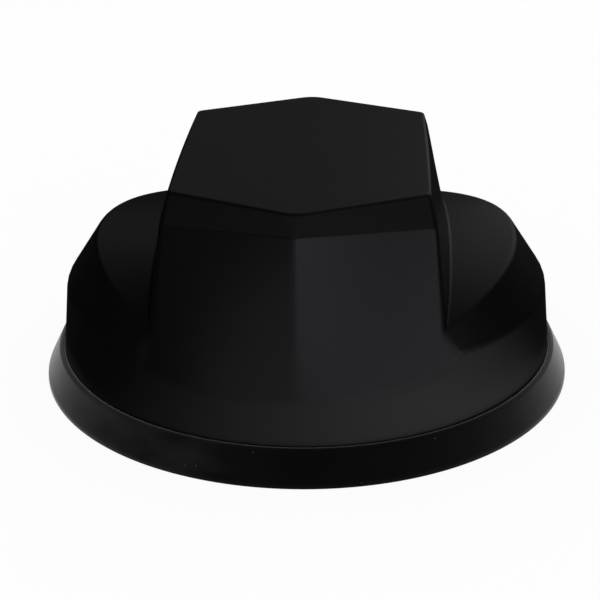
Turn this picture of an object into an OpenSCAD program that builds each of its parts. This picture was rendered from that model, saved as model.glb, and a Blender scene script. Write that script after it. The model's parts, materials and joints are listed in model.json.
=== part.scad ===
// Roof-mount GNSS receiver: a round cover with a raised hexagonal block on a rubber skirt.
// The origin is the centre of the skirt's underside, +Z is up and the front faces -Y.

/* [Rubber skirt] */
// Radius of the skirt at the roof
skirt_r = 75; // [73:0.5:80]
// Radius of the skirt's upper lip
skirt_top_r = 71.1; // [70.6:0.1:72]
// Height of the skirt's upper lip above the roof
skirt_h = 9.1; // [7:0.1:11]
// Thickness of the web under the base plate
skirt_web = 3; // [2:0.5:4]
// Inner radius of the web
skirt_web_r = 62; // [61.5:0.5:64]

/* [Cover] */
// Radius of the band where it leaves the skirt
band_r = 69.6; // [69:0.1:70]
// Draft of the band, in mm of radius for each mm of height
band_draft = 0.098; // [0.06:0.002:0.12]
// Height of the ledge at the sides of the block
ledge_z = 41; // [39:0.5:43]
// Radius of the ledge's arch from front to back
ledge_arch_r = 185; // [170:5:220]
// Radius of the ledge's edge at the sides
ledge_r = 58.9; // [58:0.1:60]
// Slope of the conical chamfer, in mm of radius for each mm of height
chamfer_slope = 0.66; // [0.6:0.005:0.7]
// Wall thickness of the cover
wall = 2.5; // [2:0.1:3]

/* [Block] */
// Height of the block's top face
top_z = 64; // [62:0.5:66]
// Half width of the top face at its corners
top_half_w = 33.7; // [32:0.1:35]
// Distance of the top's corners from the middle, front and back
top_corner_y = 35.6; // [34:0.2:37]
// Distance of the top's front and back points from the middle
top_apex_y = 51.9; // [50:0.1:53]
// Half width at the lower corners of the sloping strip
strip_half_w = 35.4; // [34:0.1:36]
// Distance of the strip's lower corners from the middle
strip_corner_y = 42.1; // [41:0.1:43]
// Distance of the strip's lower point from the middle
strip_apex_y = 56.5; // [55.5:0.1:57.5]
// Height of the strip's lower point
strip_apex_z = 59.8; // [59:0.1:60.5]
// Half width at the block's buried foot
foot_half_w = 38.9; // [38:0.1:40]
// Distance of the foot's corners from the middle
foot_corner_y = 57.8; // [57:0.1:59]
// Distance of the foot's front and back points from the middle
foot_apex_y = 68.75; // [68:0.05:70]

/* [Roof fixing] */
// Radius of the stud, thread crests and plain shank alike
stud_r = 10; // [9:0.5:11]
// Pitch of the thread
thread_pitch = 1.5; // [1:0.5:2]
// Length of the plain shank below the roof line
shank_len = 4; // [3:0.5:5]
// Length of the stud below the roof line
stud_len = 24; // [22:1:28]
// Radius of the cable passage
stud_bore_r = 6.5; // [5:0.5:7]
// Distance across the flats of the nut
nut_flats = 30; // [28:1:32]
// Thickness of the nut
nut_h = 8; // [6:0.5:9]
// Outer radius of the washer
washer_r = 19; // [18:0.5:22]
// Thickness of the washer
washer_h = 2; // [1.5:0.5:2.5]
// Depth of the washer's top face below the roof line
washer_drop = 6; // [5:0.5:8]

/* [Electronics] */
// Width of the receiver board
board_w = 72; // [68:1:74]
// Depth of the receiver board
board_d = 64; // [60:1:66]
// Underside of the receiver board
board_z = 14; // [13:0.5:16]
// Width of the square antenna board
antenna_w = 56; // [54:1:58]
// Underside of the antenna board
antenna_z = 48; // [46:0.5:48]
// Width of the lower ceramic patch
patch_lower_w = 36; // [32:1:38]
// Width of the upper ceramic patch
patch_upper_w = 26; // [22:1:28]

/* [Hidden] */
$fn = 96;
EPS = 0.01;
// Overshoot of cuts past the face they open
OVER = 1;

// Outward bow of the block's side walls at the top, at the strip and at the buried foot
side_bow = [0.5, 0.7, 6.3];
// Inset of the leaning panels along Y for each mm of wall
panel_inset = 1.08;
// Height of the block's buried foot
foot_z = 20;
// Fall of the panels' foot past its corners, in mm for each mm of width
foot_run = 0.35;
// How far the panels and the side walls are carried past the block's corners, as a share
face_reach = 1.3;
core_reach = 1.5;
// Steps along one half of a panel and along a side wall
panel_steps = 6;
side_steps = 8;

// Base plate, with the groove of its edge seal
plate_z = skirt_web;
plate_top = plate_z + 3;
plate_r = 67.1;
rim_r = 64.8;
rim_t = 1.6;
rim_h = 3;
edge_seal_r = 1;
edge_seal_ring_r = 66.5;
edge_seal_z = plate_z + 1.6;
edge_groove = 1.9;

// Cover screws and the bosses that take them
screw_r = 1.5;
screw_fit = 0.02;
screw_head_r = 2.75;
screw_head_h = 2;
screw_socket_r = 1.2;
screw_tip_gap = 0.2;
hole_clear = 0.1;
head_pocket = 2;
pocket_clear = 0.2;
blind_cut = 10;
boss_count = 6;
boss_ring_r = 58.5;
boss_first = 30;
boss_r = 4;
boss_top = 35;
boss_screw_len = 11;

// Stud flange, its seal and its screws
flange_r = 20;
flange_h = 3;
shoulder_r = 10.5;
shoulder_clear = 0.05;
stud_seal_r = 0.8;
stud_seal_ring_r = 13;
stud_seal_groove = 2;
flange_screw_ring_r = 16.8;
flange_screw_count = 4;
flange_screw_first = 45;
flange_screw_len = 5.6;
thread_depth = 0.92;
stud_tip_r = stud_r - 1;
thread_relief = 0.5;
thread_start = shank_len + thread_relief;
thread_turns = floor((stud_len - thread_start) / thread_pitch);

// Cable grommet in the stud's mouth
grommet_len = 10;
grommet_lip_r = 8.2;
grommet_lip_h = 2;
cable_hole_r = 3;

// Vent in the base plate
vent_x = 40;
vent_r = 4;
vent_head_r = 6;
vent_head_h = 1.5;
vent_wall = 1.5;

// Receiver board and what stands on it
board_t = 1.6;
board_top = board_z + board_t;
board_corner_r = 3;
board_hole = [31, 27];
cable_window_r = 8;
standoff_flats = 5.5;
standoff_stub = 2.5;
board_screw_len = 6;
module_place = [-19, 14];
module_size = [22, 20, 3.2];
module_lid_inset = 0.6;
module_lid_t = 0.4;
header_place = [0, -18];
header_size = [16, 6, 8];
header_wall = 0.8;
header_depth = 5;
cell_place = [24, -20];
cell_r = 5;
cell_h = 2.5;
coax_place = [19, 15];
coax_plug_r = 2;
coax_plug_h = 2.5;
coax_plug_lip = 0.5;
chips = [[16, -6, 12, 1.2], [-14, -10, 8, 1], [28, 6, 6, 1]];
inductors = [[-26, -13, 7, 4], [-27, -3, 5, 3]];
capacitors = [[-20, -24, 3.2, 7], [-12, -24, 3.2, 7]];

// Tower that carries the antenna board
frame_t = 3;
frame_size = [antenna_w, 82];
frame_window = 44;
leg = 6;
leg_place = [22, 38];
foot_t = 2;
foot_w = 10;
foot_reach = 9;
foot_screw_y = 44.5;
bracket_screw_len = 4.6;

// Antenna stack
antenna_top = antenna_z + board_t;
antenna_hole = 25;
antenna_screw_len = 4.4;
patch_t = 4;
electrode_t = 0.1;
electrode_margin = 2;
feed_offset = 5;
feed_r = 0.5;
feed_clear = 0.05;
feed_head_r = 1;
feed_head_h = 0.5;
lna_w = 28;
lna_h = 3.5;
lower_top = antenna_top + patch_t;
upper_base = lower_top + electrode_t;
upper_top = upper_base + patch_t;

// Coax between the two plugs
coax_r = 0.9;
coax_sides = 8;
coax_steps = 12;
coax_bow = 6;

// Washer and nut clearances over the stud
washer_clear = 0.4;
nut_clear = 0.05;
nut_chamfer = 1;

cover_black = "#1b1c1e";
rubber_black = "#26272a";
board_green = "#1f5a38";
steel = "#b9bcc0";
brass = "#c2a25a";

function lerp(a, b, t) = a + (b - a) * t;
function band_at(z) = band_r + band_draft * (skirt_h - z);
function sag(radius, x) = radius - sqrt(radius * radius - x * x);

// Height of the strip's plane, which holds the top's front edge and the strip's lowest point
function strip_z(top, apex_y, apex_z, x, y) =
    let (slope = (top[3] - top[1]) / top[0])
    top[2] + (apex_z - top[2]) * (y + slope * x - top[3]) / (apex_y - top[3]);

// Levels of the block: [half width, corner y, corner z, point y, point z, bow of the side]
function block_level(k, inset) =
    let (y_inset = inset * panel_inset)
    let (w = strip_half_w - inset, y = strip_corner_y - y_inset)
    let (apex_y = strip_apex_y - y_inset, apex_z = strip_apex_z - inset / 2)
    k == 0 ? [top_half_w - inset, top_corner_y - y_inset, top_z - inset,
              top_apex_y - y_inset, top_z - inset, side_bow[0]] :
    k == 1 ? [w, y, strip_z(block_level(0, inset), apex_y, apex_z, w, y), apex_y, apex_z, side_bow[1]] :
             [foot_half_w - inset, foot_corner_y - y_inset, foot_z,
              foot_apex_y - y_inset, foot_z, side_bow[2]];

// Point of a front edge, from the crease at t = 0 to the corners at t = -1 and 1 and past them.
// The two upper edges are straight, and the foot is an arc that runs out straight past its corners.
function panel_point(level, k, t) =
    let (rise = level[3] - level[1])
    let (arc_r = (level[0] * level[0] + rise * rise) / (2 * rise))
    let (x = level[0] * t)
    let (past = max(abs(x) - level[0], 0))
    let (y = k < 2 ? lerp(level[3], level[1], abs(t)) :
             level[3] - sag(arc_r, min(abs(x), level[0])) - foot_run * past)
    [x, -y, lerp(level[4], level[2], abs(t))];

// Point of a side wall's edge, from the front corner at t = -1 to the back corner at t = 1
function side_point(level, t) = [level[0] + level[5] * (1 - t * t), level[1] * t, level[2]];

// Point at height z on the line through a and b
function at_height(a, b, z) = a + (b - a) * (z - a[2]) / (b[2] - a[2]);

// Outline at height z of all that lies between the front and the back faces that run from edge k
// of the block to the next edge below it
function face_ring(k, inset, z) =
    let (upper = block_level(k, inset), lower = block_level(k + 1, inset))
    let (steps = k == 0 ? [0] : [for (i = [-panel_steps : panel_steps]) i / panel_steps])
    let (shares = concat([-face_reach], steps, [face_reach]))
    let (front = [for (t = shares) at_height(panel_point(upper, k, t), panel_point(lower, k + 1, t), z)])
    let (half = concat([for (p = front) [p[0], p[1]]], [[2 * band_r, 0]]))
    concat(half, [for (p = half) -p]);

// All that lies between those faces
module between_faces(k, inset, floor_z) {
    hull()
        for (z = [floor_z - OVER, top_z])
            translate([0, 0, z])
                linear_extrude(OVER)
                    polygon(face_ring(k, inset, z));
}

// Outline of the block between its side walls, carried past its corners
function core_ring(k, inset) =
    let (level = block_level(k, inset))
    let (steps = [for (i = [0 : side_steps]) 2 * i / side_steps - 1])
    let (right = [for (t = concat([-core_reach], steps, [core_reach])) side_point(level, t)])
    concat(right, [for (p = right) [-p[0], -p[1], p[2]]]);

// Closed solid through outlines of equal length, listed from the top down
module stacked(rings) {
    count = len(rings[0]);
    last = len(rings) - 1;
    cap = [for (i = [count - 1 : -1 : 0]) i];
    foot = [for (i = [0 : count - 1]) last * count + i];
    sides = [
        for (k = [0 : last - 1], i = [0 : count - 1])
            let (j = (i + 1) % count, a = k * count + i, b = k * count + j)
            each [[a, b, b + count], [a, b + count, a + count]]
    ];
    polyhedron(points = [for (ring = rings) each ring], faces = concat([cap, foot], sides));
}

// The round shoulder: a cone under an arch that falls away to the front and the back
module shoulder_solid(inset, floor_z) {
    cone_inset = inset * sqrt(1 + chamfer_slope * chamfer_slope);
    rise = top_z - floor_z;
    arch_len = 4 * band_r;
    foot_r = ledge_r + chamfer_slope * (ledge_z - floor_z) - cone_inset;
    intersection() {
        translate([0, 0, floor_z])
            cylinder(r1 = foot_r, r2 = foot_r - chamfer_slope * rise, h = rise);
        translate([0, 0, ledge_z - ledge_arch_r])
            rotate([0, 90, 0])
                cylinder(r = ledge_arch_r - inset, h = arch_len, center = true, $fn = 360);
    }
}

// Outer form of the cover at inset 0, its hollow at the wall's inset: the round shoulder and the
// block, cut by the leaning panels, the strips above them and the band
module cover_form(inset, floor_z) {
    roof_z = top_z + OVER;
    intersection() {
        rotate_extrude()
            polygon([
                [0, floor_z], [band_at(floor_z) - inset, floor_z],
                [band_at(roof_z) - inset, roof_z], [0, roof_z]
            ]);
        between_faces(0, inset, floor_z);
        between_faces(1, inset, floor_z);
        union() {
            shoulder_solid(inset, floor_z);
            stacked([for (k = [0 : 2]) core_ring(k, inset)]);
        }
    }
}

module ring_of(count, radius, first = 0) {
    for (i = [0 : count - 1])
        rotate([0, 0, first + 360 * i / count])
            translate([radius, 0, 0])
                children();
}

module four_corners(place) {
    for (sx = [-1, 1], sy = [-1, 1])
        translate([sx * place[0], sy * place[1], 0])
            children();
}

// Screw with its head's underside at z = 0 and its shank pointing down
module pan_screw(length) {
    difference() {
        union() {
            cylinder(r = screw_head_r, h = screw_head_h);
            translate([0, 0, -length])
                cylinder(r = screw_r, h = length + EPS);
        }
        translate([0, 0, screw_head_h / 2])
            cylinder(r = screw_socket_r, h = screw_head_h, $fn = 6);
    }
}

module rounded_plate(w, d, t, corner_r) {
    linear_extrude(t)
        union() {
            square([w - 2 * corner_r, d], center = true);
            square([w, d - 2 * corner_r], center = true);
            four_corners([w / 2 - corner_r, d / 2 - corner_r])
                circle(corner_r);
        }
}

module box_on(place, size, z) {
    translate([place[0], place[1], z + size[2] / 2])
        cube(size, center = true);
}

module o_ring(ring_r, section_r, z) {
    rotate_extrude()
        translate([ring_r, z])
            circle(section_r, $fn = 32);
}

module radome() {
    pilot_depth = boss_screw_len + OVER;
    color(cover_black)
        difference() {
            union() {
                difference() {
                    cover_form(0, plate_z);
                    cover_form(wall, plate_z - OVER);
                }
                ring_of(boss_count, boss_ring_r, boss_first)
                    translate([0, 0, plate_top])
                        cylinder(r = boss_r, h = boss_top - plate_top);
            }
            ring_of(boss_count, boss_ring_r, boss_first)
                translate([0, 0, plate_top - EPS])
                    cylinder(r = screw_r + screw_fit, h = pilot_depth);
        }
}

module base_gasket() {
    grip = 0.05;
    lip_edge = 1.2;
    color(rubber_black)
        rotate_extrude()
            polygon([
                [skirt_web_r, 0], [skirt_r, 0], [skirt_r, lip_edge], [skirt_top_r, skirt_h],
                [band_at(skirt_h) + grip, skirt_h], [band_at(skirt_web) + grip, skirt_web],
                [skirt_web_r, skirt_web]
            ]);
}

module base_plate() {
    color(steel)
        difference() {
            union() {
                translate([0, 0, plate_z])
                    cylinder(r = plate_r, h = plate_top - plate_z);
                translate([0, 0, plate_top - EPS])
                    difference() {
                        cylinder(r = rim_r, h = rim_h + EPS);
                        translate([0, 0, -OVER])
                            cylinder(r = rim_r - rim_t, h = rim_h + 2 * OVER);
                    }
            }
            // hole for the stud, and the seal's groove round it
            translate([0, 0, plate_z - OVER])
                cylinder(r = shoulder_r + shoulder_clear, h = blind_cut);
            translate([0, 0, plate_top - 2 * stud_seal_r])
                rotate_extrude()
                    translate([stud_seal_ring_r - stud_seal_groove / 2, 0])
                        square([stud_seal_groove, 2 * stud_seal_r + OVER]);
            // edge groove
            rotate_extrude()
                translate([plate_r - edge_groove, edge_seal_z - edge_seal_r])
                    square([edge_groove + OVER, 2 * edge_seal_r]);
            // cover screws, with pockets for their heads
            ring_of(boss_count, boss_ring_r, boss_first)
                translate([0, 0, plate_z - OVER]) {
                    cylinder(r = screw_r + hole_clear, h = blind_cut);
                    cylinder(r = screw_head_r + pocket_clear, h = head_pocket + OVER);
                }
            // blind holes for the other screws and the standoffs
            ring_of(flange_screw_count, flange_screw_ring_r, flange_screw_first)
                translate([0, 0, plate_top - flange_screw_len + flange_h])
                    cylinder(r = screw_r + screw_fit, h = blind_cut);
            four_corners(board_hole)
                translate([0, 0, plate_top - standoff_stub])
                    cylinder(r = screw_r + screw_fit, h = blind_cut);
            four_corners([leg_place[0], foot_screw_y])
                translate([0, 0, plate_top - bracket_screw_len + foot_t])
                    cylinder(r = screw_r + screw_fit, h = blind_cut);
            // vent
            translate([vent_x, 0, plate_z - OVER])
                cylinder(r = vent_r + screw_fit, h = blind_cut);
        }
}

module seal_ring() {
    color(rubber_black)
        o_ring(edge_seal_ring_r, edge_seal_r, edge_seal_z);
}

module radome_screws() {
    color(steel)
        ring_of(boss_count, boss_ring_r, boss_first)
            translate([0, 0, plate_z + head_pocket])
                mirror([0, 0, 1])
                    pan_screw(boss_screw_len + plate_top - plate_z - head_pocket);
}

module mounting_stud() {
    crest = 0.2;
    flank = (thread_pitch - 2 * crest) / 2;
    color(steel)
        difference() {
            rotate_extrude()
                polygon(concat(
                    [
                        [stud_bore_r, plate_top + flange_h], [stud_bore_r, -stud_len],
                        [stud_tip_r, -stud_len]
                    ],
                    [
                        for (i = [thread_turns - 1 : -1 : 0])
                            let (z = -thread_start - (i + 1) * thread_pitch)
                            each [
                                [stud_r - thread_depth, z],
                                [stud_r, z + flank], [stud_r, z + flank + crest],
                                [stud_r - thread_depth, z + 2 * flank + crest]
                            ]
                    ],
                    [
                        [stud_r - thread_depth, -shank_len], [stud_r, -shank_len], [stud_r, 0],
                        [shoulder_r, 0], [shoulder_r, plate_top], [flange_r, plate_top],
                        [flange_r, plate_top + flange_h]
                    ]
                ));
            ring_of(flange_screw_count, flange_screw_ring_r, flange_screw_first)
                translate([0, 0, plate_top - OVER])
                    cylinder(r = screw_r + hole_clear, h = flange_h + 2 * OVER);
        }
}

module stud_seal() {
    color(rubber_black)
        o_ring(stud_seal_ring_r, stud_seal_r, plate_top - stud_seal_r);
}

module stud_screws() {
    color(steel)
        ring_of(flange_screw_count, flange_screw_ring_r, flange_screw_first)
            translate([0, 0, plate_top + flange_h])
                pan_screw(flange_screw_len - screw_tip_gap);
}

module cable_grommet() {
    grip = 0.02;
    color(rubber_black)
        difference() {
            union() {
                translate([0, 0, -stud_len])
                    cylinder(r = stud_bore_r - grip, h = grommet_len);
                translate([0, 0, -stud_len - grommet_lip_h])
                    cylinder(r = grommet_lip_r, h = grommet_lip_h);
            }
            translate([0, 0, -stud_len - grommet_lip_h - OVER])
                cylinder(r = cable_hole_r, h = grommet_len + grommet_lip_h + 2 * OVER);
        }
}

module vent_plug() {
    color(cover_black)
        translate([vent_x, 0, plate_z])
            difference() {
                union() {
                    cylinder(r = vent_r, h = plate_top - plate_z + EPS);
                    translate([0, 0, plate_top - plate_z])
                        cylinder(r = vent_head_r, h = vent_head_h);
                }
                translate([0, 0, -EPS])
                    cylinder(r = vent_r - vent_wall, h = plate_top - plate_z);
            }
}

module receiver_board() {
    color(board_green)
        translate([0, 0, board_z])
            difference() {
                rounded_plate(board_w, board_d, board_t, board_corner_r);
                translate([0, 0, -OVER])
                    cylinder(r = cable_window_r, h = board_t + 2 * OVER);
                four_corners(board_hole)
                    translate([0, 0, -OVER])
                        cylinder(r = screw_r + hole_clear, h = board_t + 2 * OVER);
            }
}

module board_standoffs() {
    color(brass)
        four_corners(board_hole)
            difference() {
                union() {
                    translate([0, 0, plate_top])
                        cylinder(d = standoff_flats / cos(30), h = board_z - plate_top, $fn = 6);
                    translate([0, 0, plate_top - standoff_stub + screw_tip_gap])
                        cylinder(r = screw_r, h = standoff_stub);
                }
                translate([0, 0, board_z - board_screw_len + board_t - screw_tip_gap])
                    cylinder(r = screw_r + screw_fit, h = board_screw_len);
            }
}

module board_screws() {
    color(steel)
        four_corners(board_hole)
            translate([0, 0, board_top])
                pan_screw(board_screw_len);
}

module receiver_module() {
    lid_base = module_size[2] - module_lid_t;
    color(steel)
        union() {
            box_on(module_place, [module_size[0], module_size[1], lid_base], board_top);
            box_on(module_place,
                   [module_size[0] - 2 * module_lid_inset, module_size[1] - 2 * module_lid_inset,
                    module_size[2]],
                   board_top);
        }
}

module processor_chips() {
    color("#202226")
        for (c = chips)
            box_on([c[0], c[1]], [c[2], c[2], c[3]], board_top);
}

module power_parts() {
    color("#3a3b3f") {
        for (p = inductors)
            box_on([p[0], p[1]], [p[2], p[2], p[3]], board_top);
        for (p = capacitors)
            translate([p[0], p[1], board_top])
                cylinder(r = p[2], h = p[3]);
    }
}

module cable_header() {
    inner = [header_size[0] - 2 * header_wall, header_size[1] - 2 * header_wall, header_depth + OVER];
    color("#e9e5d8")
        difference() {
            box_on(header_place, header_size, board_top);
            box_on(header_place, inner, board_top + header_size[2] - header_depth);
        }
}

module backup_cell() {
    lip = 0.6;
    color(steel)
        translate([cell_place[0], cell_place[1], board_top])
            union() {
                cylinder(r = cell_r - lip, h = cell_h);
                cylinder(r = cell_r, h = cell_h - lip);
            }
}

module coax_plug() {
    skirt_share = 0.6;
    cylinder(r = coax_plug_r, h = coax_plug_h * skirt_share);
    cylinder(r = coax_plug_r - coax_plug_lip, h = coax_plug_h);
}

module board_coax_plug() {
    color(brass)
        translate([coax_place[0], coax_place[1], board_top])
            coax_plug();
}

module antenna_coax_plug() {
    color(brass)
        translate([coax_place[0], coax_place[1], antenna_z])
            mirror([0, 0, 1])
                coax_plug();
}

// Lead from plug to plug, bowed to one side for slack
module coax_jumper() {
    low = board_top + coax_plug_h;
    high = antenna_z - coax_plug_h;
    points = [
        for (i = [0 : coax_steps], j = [0 : coax_sides - 1])
            let (t = i / coax_steps, a = 360 * j / coax_sides)
            let (bow = -coax_bow * (1 - cos(360 * t)) / 2)
            [coax_place[0] + bow + coax_r * cos(a), coax_place[1] + coax_r * sin(a), lerp(low, high, t)]
    ];
    last = coax_steps * coax_sides;
    ends = [
        [for (j = [0 : coax_sides - 1]) j],
        [for (j = [coax_sides - 1 : -1 : 0]) last + j]
    ];
    sides = [
        for (i = [0 : coax_steps - 1], j = [0 : coax_sides - 1])
            let (a = i * coax_sides + j, b = i * coax_sides + (j + 1) % coax_sides)
            each [[a, a + coax_sides, b + coax_sides], [a, b + coax_sides, b]]
    ];
    color("#8d8f92")
        polyhedron(points = points, faces = concat(ends, sides));
}

module antenna_bracket() {
    frame_z = antenna_z - frame_t;
    foot_y = leg_place[1] - leg / 2 + (leg + foot_reach) / 2;
    color("#d8d9d4")
        difference() {
            union() {
                box_on([0, 0], [frame_size[0], frame_size[1], frame_t], frame_z);
                four_corners(leg_place)
                    box_on([0, 0], [leg, leg, frame_z - plate_top + EPS], plate_top);
                four_corners([leg_place[0], foot_y])
                    box_on([0, 0], [foot_w, leg + foot_reach, foot_t], plate_top);
            }
            box_on([0, 0], [frame_window, frame_window, frame_t + 2 * OVER], frame_z - OVER);
            four_corners([antenna_hole, antenna_hole])
                translate([0, 0, frame_z - OVER])
                    cylinder(r = screw_r + screw_fit, h = frame_t + 2 * OVER);
            four_corners([leg_place[0], foot_screw_y])
                translate([0, 0, plate_top - OVER])
                    cylinder(r = screw_r + hole_clear, h = foot_t + 2 * OVER);
        }
}

module bracket_screws() {
    color(steel)
        four_corners([leg_place[0], foot_screw_y])
            translate([0, 0, plate_top + foot_t])
                pan_screw(bracket_screw_len - screw_tip_gap);
}

module antenna_board() {
    color(board_green)
        difference() {
            translate([0, 0, antenna_z])
                rounded_plate(antenna_w, antenna_w, board_t, board_corner_r);
            four_corners([antenna_hole, antenna_hole])
                translate([0, 0, antenna_z - OVER])
                    cylinder(r = screw_r + hole_clear, h = board_t + 2 * OVER);
            feed_holes(antenna_z - OVER, board_t + 2 * OVER);
        }
}

module antenna_screws() {
    color(steel)
        four_corners([antenna_hole, antenna_hole])
            translate([0, 0, antenna_top])
                pan_screw(antenna_screw_len);
}

module lna_shield() {
    color(steel)
        box_on([0, 0], [lna_w, lna_w, lna_h], antenna_z - lna_h);
}

module feed_holes(z, h) {
    for (p = [[feed_offset, 0], [0, feed_offset]])
        translate([p[0], p[1], z])
            cylinder(r = feed_r + feed_clear, h = h, $fn = 32);
}

module patch_lower() {
    color("#c9b79a")
        difference() {
            box_on([0, 0], [patch_lower_w, patch_lower_w, patch_t], antenna_top);
            feed_holes(antenna_top - OVER, patch_t + 2 * OVER);
        }
}

module patch_upper() {
    color("#c9b79a")
        difference() {
            box_on([0, 0], [patch_upper_w, patch_upper_w, patch_t], upper_base);
            feed_holes(upper_base - OVER, patch_t + 2 * OVER);
        }
}

module patch_electrodes() {
    color("#d6d8da")
        difference() {
            union() {
                for (e = [[patch_lower_w, lower_top], [patch_upper_w, upper_top]])
                    let (w = e[0] - 2 * electrode_margin)
                        box_on([0, 0], [w, w, electrode_t], e[1]);
            }
            feed_holes(lower_top - OVER, 2 * patch_t);
        }
}

module feed_pins() {
    pin_top = upper_top + electrode_t;
    color(brass)
        for (p = [[feed_offset, 0], [0, feed_offset]])
            translate([p[0], p[1], 0]) {
                translate([0, 0, antenna_z])
                    cylinder(r = feed_r, h = pin_top - antenna_z + EPS, $fn = 32);
                translate([0, 0, pin_top])
                    cylinder(r = feed_head_r, h = feed_head_h, $fn = 32);
            }
}

module clamp_washer() {
    color(steel)
        translate([0, 0, -washer_drop - washer_h])
            difference() {
                cylinder(r = washer_r, h = washer_h);
                translate([0, 0, -OVER])
                    cylinder(r = stud_r + washer_clear, h = washer_h + 2 * OVER);
            }
}

module mounting_nut() {
    corner_r = nut_flats / 2 / cos(30);
    gap = 0.02;
    color(steel)
        translate([0, 0, -washer_drop - washer_h - gap - nut_h])
            difference() {
                intersection() {
                    cylinder(r = corner_r, h = nut_h, $fn = 6);
                    rotate_extrude()
                        polygon([
                            [0, 0], [corner_r - 2 * nut_chamfer, 0], [corner_r, nut_chamfer],
                            [corner_r, nut_h - nut_chamfer], [corner_r - 2 * nut_chamfer, nut_h], [0, nut_h]
                        ]);
                }
                translate([0, 0, -OVER])
                    cylinder(r = stud_r + nut_clear, h = nut_h + 2 * OVER);
            }
}

radome();
base_gasket();
base_plate();
seal_ring();
radome_screws();
mounting_stud();
stud_seal();
stud_screws();
cable_grommet();
vent_plug();
receiver_board();
board_standoffs();
board_screws();
receiver_module();
processor_chips();
power_parts();
cable_header();
backup_cell();
board_coax_plug();
antenna_bracket();
bracket_screws();
antenna_board();
antenna_screws();
lna_shield();
patch_lower();
patch_upper();
patch_electrodes();
feed_pins();
antenna_coax_plug();
coax_jumper();
clamp_washer();
mounting_nut();
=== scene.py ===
# %% [markdown]
# # A roof-mount positioning receiver
# The receiver is a black cover with a raised hexagonal block, standing on a flared rubber skirt.
# Under the roof line it has a hollow threaded stud with a washer and a nut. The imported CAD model
# gives every size and every moving body. This lesson adds what a CAD model lacks: soft edges, a
# real thread, finishes, light and a camera.

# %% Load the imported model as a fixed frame
import json
import math
from collections import namedtuple

import bmesh
import bpy
import numpy as np
from mathutils import Matrix, Vector


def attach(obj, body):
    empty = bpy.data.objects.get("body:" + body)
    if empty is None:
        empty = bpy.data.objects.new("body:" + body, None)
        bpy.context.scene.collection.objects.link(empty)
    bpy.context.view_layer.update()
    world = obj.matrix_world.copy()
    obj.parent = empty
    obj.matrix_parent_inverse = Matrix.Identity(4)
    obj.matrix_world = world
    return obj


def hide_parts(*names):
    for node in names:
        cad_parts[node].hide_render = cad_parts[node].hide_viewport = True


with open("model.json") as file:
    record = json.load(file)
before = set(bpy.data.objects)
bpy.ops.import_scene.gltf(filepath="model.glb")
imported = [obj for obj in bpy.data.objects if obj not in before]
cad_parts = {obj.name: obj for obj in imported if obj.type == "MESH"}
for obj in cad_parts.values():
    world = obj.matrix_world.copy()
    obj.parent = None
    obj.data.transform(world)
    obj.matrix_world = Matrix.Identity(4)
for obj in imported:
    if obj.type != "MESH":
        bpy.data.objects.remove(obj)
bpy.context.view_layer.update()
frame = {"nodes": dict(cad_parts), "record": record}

# %% [markdown]
# ## Camera
# The photograph was taken from a little to the right of the front and from about 24 degrees above
# the horizon. A long lens from under half a metre away gives the same perspective. The camera could
# be aimed by a Track To constraint, but the photograph is also tilted a little, so its three
# directions are worked out here and every later picture can be laid over the photograph.

# %% Place the camera
MM = 0.001
VIEW_AZIMUTH = math.radians(3.0)
VIEW_ELEVATION = math.radians(24.07)
VIEW_ROLL = math.radians(-0.49)
VIEW_DISTANCE = 429.7 * MM
TARGET_ASIDE = -1.76 * MM
TARGET_HEIGHT = 18.1 * MM
LENS_MM = 89.1
SENSOR_MM = 36.0
NEAR_CLIP = 10 * MM

side_vector = Vector((math.cos(VIEW_AZIMUTH), math.sin(VIEW_AZIMUTH), 0))
back_vector = Vector((
    math.sin(VIEW_AZIMUTH) * math.cos(VIEW_ELEVATION),
    -math.cos(VIEW_AZIMUTH) * math.cos(VIEW_ELEVATION),
    math.sin(VIEW_ELEVATION),
))
up_vector = back_vector.cross(side_vector)
right_vector = side_vector * math.cos(VIEW_ROLL) + up_vector * math.sin(VIEW_ROLL)
up_vector = back_vector.cross(right_vector)
view_target = side_vector * TARGET_ASIDE + Vector((0, 0, TARGET_HEIGHT))

bpy.ops.object.select_all(action="DESELECT")
bpy.ops.object.camera_add(location=view_target + back_vector * VIEW_DISTANCE)
camera = bpy.context.object
camera_turn = Matrix((right_vector, up_vector, back_vector)).transposed()
camera.rotation_euler = camera_turn.to_euler()
camera.data.lens = LENS_MM
camera.data.sensor_width = SENSOR_MM
camera.data.clip_start = NEAR_CLIP
bpy.context.scene.camera = camera
bpy.context.scene.view_settings.view_transform = "Standard"
print("camera at", [round(x, 4) for x in camera.location])

# %% [markdown]
# ## Finishes
# Each finish is a Principled shader with noise that follows the object's own coordinates, so the
# grain keeps its size in millimetres. Colours are written as sRGB hex values and turned to linear
# light by one function, because that is what the shader works in.

# %% Helpers for the finishes
def linear(hex_colour):
    """An sRGB hex colour in linear light, opaque."""
    channels = [int(hex_colour[i:i + 2], 16) / 255 for i in (1, 3, 5)]
    light = [c / 12.92 if c <= 0.04045 else ((c + 0.055) / 1.055) ** 2.4 for c in channels]
    return (*light, 1.0)


def add_node(tree, kind, inputs=(), **settings):
    """A node with its settings, each input set to a value or linked to another node's socket."""
    node = tree.nodes.new(kind)
    for name, value in settings.items():
        setattr(node, name, value)
    for socket, value in dict(inputs).items():
        if isinstance(value, bpy.types.NodeSocket):
            tree.links.new(value, node.inputs[socket])
        else:
            node.inputs[socket].default_value = value
    return node


def per_metre(size_mm):
    """Noise scale at which one blotch is about this many millimetres across."""
    return 1.0 / (size_mm * MM)


def new_finish(name):
    """A material with its node tree, its shader and the piece's own coordinates."""
    finish = bpy.data.materials.new(name)
    finish.use_nodes = True
    tree = finish.node_tree
    shader = tree.nodes["Principled BSDF"]
    place = add_node(tree, "ShaderNodeTexCoord").outputs["Object"]
    return finish, tree, shader, place


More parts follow.
